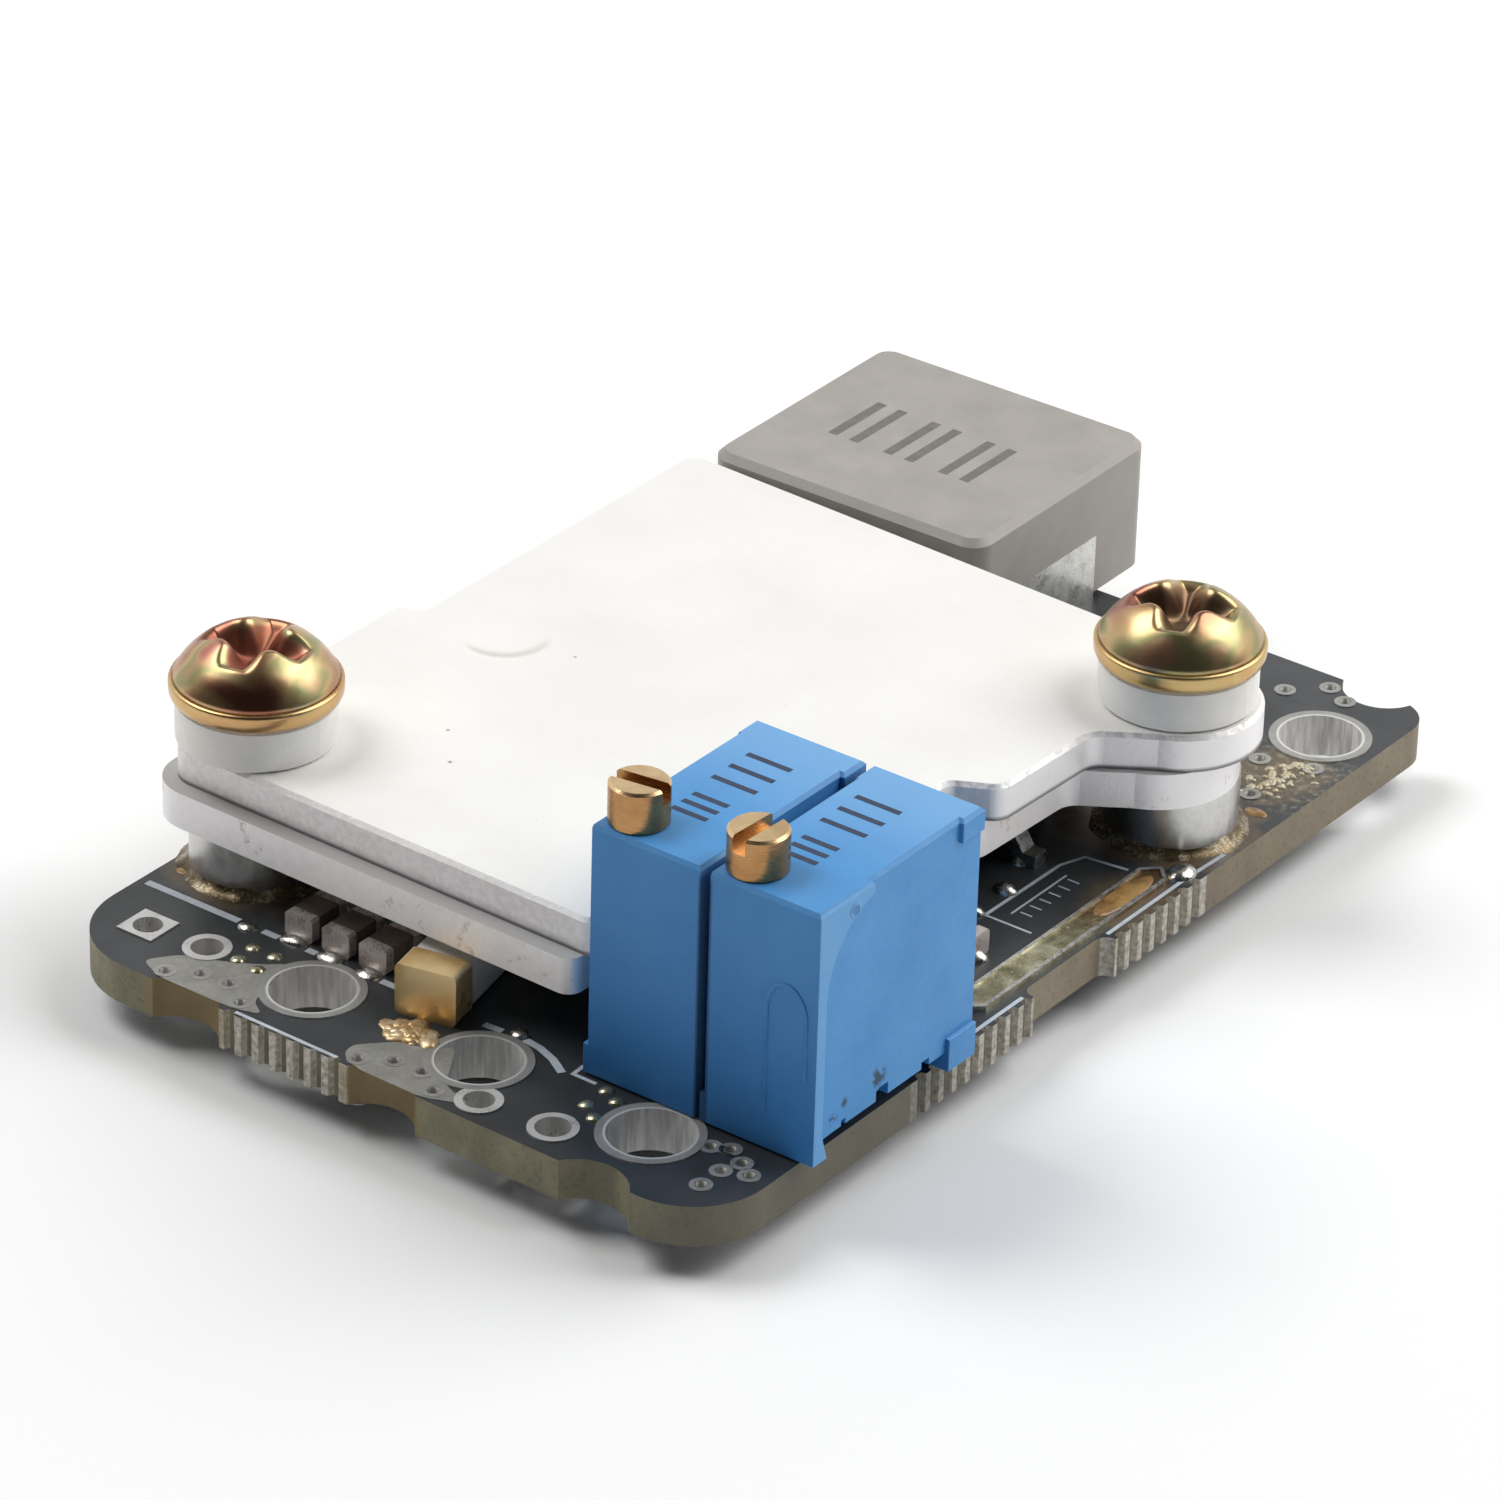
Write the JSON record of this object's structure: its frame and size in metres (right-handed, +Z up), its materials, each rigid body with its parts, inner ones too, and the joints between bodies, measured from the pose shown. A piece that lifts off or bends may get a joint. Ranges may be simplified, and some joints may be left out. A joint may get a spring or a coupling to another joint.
{
  "type": "battery charger module",
  "caption": "Small charger circuit board with stacked metal heat spreaders under domed screws, blue screw-adjusted trimmers, a moulded inductor and plated terminal holes.",
  "frame": {"origin": "centre of the near-left terminal hole, on the board's top face", "axes": "+X along the near short edge, through the three near terminal holes; +Y away, along the long edges; +Z up, out of the board's component side"},
  "size_m": [0.0311, 0.0485, 0.0145],
  "materials": {
    "solder_mask": "satin",
    "tinned_copper": "satin",
    "tinned_strip": "satin",
    "standoff_metal": "satin",
    "spreader_metal": "matte",
    "washer_plastic": "matte",
    "zinc_screw": "gloss",
    "trimmer_plastic": "satin",
    "adjuster_brass": "satin",
    "pin_metal": "satin",
    "inductor_mould": "matte",
    "terminal_tin": "satin",
    "fuse_ceramic": "matte",
    "fuse_cap_gold": "satin",
    "device_mould": "matte",
    "device_lead": "satin",
    "pad_silicone": "matte",
    "chip_ceramic": "matte",
    "chip_end": "satin",
    "sense_body": "matte",
    "capacitor_ceramic": "matte"
  },
  "bodies": {
    "module": {"circuit_board": "solder_mask", "terminal_ring_1": "tinned_copper", "terminal_ring_2": "tinned_copper", "terminal_ring_3": "tinned_copper", "terminal_ring_4": "tinned_copper", "wire_hole_1": "tinned_copper", "wire_hole_2": "tinned_copper", "wire_hole_3": "tinned_copper", "wire_hole_4": "tinned_copper", "bus_strip": "tinned_strip", "standoff_left": "standoff_metal", "standoff_right": "standoff_metal", "lower_heat_spreader": "spreader_metal", "upper_heat_spreader": "spreader_metal", "insulating_washer_left": "washer_plastic", "insulating_washer_right": "washer_plastic", "clamp_screw_left": "zinc_screw", "clamp_screw_right": "zinc_screw", "trimmer_housing_1": "trimmer_plastic", "trimmer_housing_2": "trimmer_plastic", "trimmer_pins_1": "pin_metal", "trimmer_pins_2": "pin_metal", "inductor_body": "inductor_mould", "inductor_terminal_left": "terminal_tin", "inductor_terminal_right": "terminal_tin", "fuse_body": "fuse_ceramic", "fuse_caps": "fuse_cap_gold", "transistor_body_1": "device_mould", "transistor_body_2": "device_mould", "controller_body": "device_mould", "transistor_leads_1": "device_lead", "transistor_leads_2": "device_lead", "controller_leads": "device_lead", "thermal_pad_1": "pad_silicone", "thermal_pad_2": "pad_silicone", "chip_1_body": "chip_ceramic", "chip_2_body": "chip_ceramic", "chip_3_body": "chip_ceramic", "chip_4_body": "chip_ceramic", "chip_1_ends": "chip_end", "chip_2_ends": "chip_end", "chip_3_ends": "chip_end", "chip_4_ends": "chip_end", "sense_resistor_ends": "chip_end", "output_capacitor_1_ends": "chip_end", "output_capacitor_2_ends": "chip_end", "sense_resistor_body": "sense_body", "output_capacitor_1_body": "capacitor_ceramic", "output_capacitor_2_body": "capacitor_ceramic"},
    "adjuster_1": {"adjusting_screw_1": "adjuster_brass"},
    "adjuster_2": {"adjusting_screw_2": "adjuster_brass"}
  },
  "joints": [
    {"name": "adjuster_1_turn", "type": "hinge", "parent": "module", "child": "adjuster_1", "pos_m": [0.01205, 0.00289, 0.01003], "axis": [0, 0, 1], "continuous": true},
    {"name": "adjuster_2_turn", "type": "hinge", "parent": "module", "child": "adjuster_2", "pos_m": [0.01709, 0.00289, 0.01003], "axis": [0, 0, 1], "continuous": true}
  ]
}
